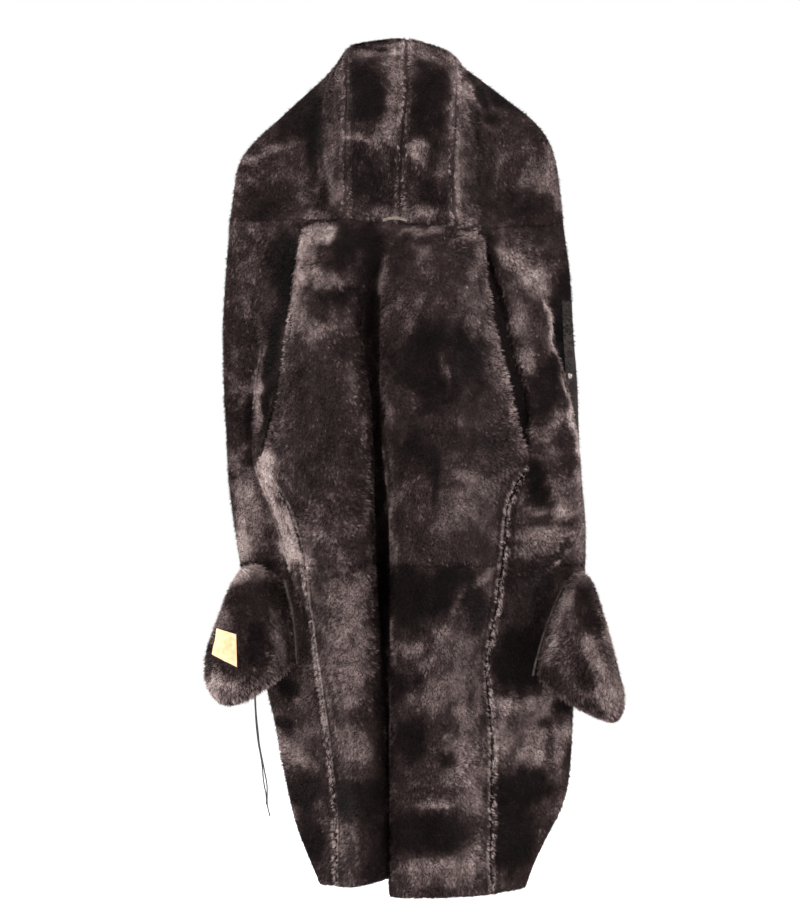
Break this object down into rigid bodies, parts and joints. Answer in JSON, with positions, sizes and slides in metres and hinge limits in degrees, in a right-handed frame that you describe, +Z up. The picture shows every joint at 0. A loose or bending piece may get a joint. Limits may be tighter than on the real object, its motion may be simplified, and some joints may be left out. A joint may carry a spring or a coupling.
{
  "type": "shearling coat",
  "caption": "Long hooded shearling coat turned fur side out, held up at its hood, its back folded deep down the centre and its fronts swept back, open and hollow.",
  "frame": {"origin": "the point under the crown of the hood where the coat is held up", "axes": "+Z up along the coat, +X across it towards the front with the band and snap, -Y towards whoever looks at the fur side of the back"},
  "size_m": [0.677, 0.2118, 1.383],
  "materials": {
    "shearling": "matt",
    "leather": "satin",
    "tan_leather": "matt",
    "nickel": "polished",
    "cord": "satin"
  },
  "bodies": {
    "root": {"hood_centre_left": "shearling", "hood_centre_right": "shearling", "hood_side_left": "shearling", "hood_side_right": "shearling", "back_upper_left": "shearling", "back_upper_right": "shearling", "back_lower_left": "shearling", "back_lower_right": "shearling", "front_upper_left": "shearling", "front_upper_right": "shearling", "front_lower_left": "shearling", "front_lower_right": "shearling", "sleeve_left": "shearling", "sleeve_right": "shearling", "pocket_bag_left_near": "shearling", "pocket_bag_left_far": "shearling", "pocket_bag_right_near": "shearling", "pocket_bag_right_far": "shearling", "pocket_edge_left": "leather", "pocket_edge_right": "leather", "front_band_right": "leather", "hanger_loop": "leather", "label_patch": "tan_leather", "snap_socket": "nickel", "cord_eyelet": "nickel", "drawcord_long": "cord", "drawcord_short": "cord"}
  },
  "joints": []
}
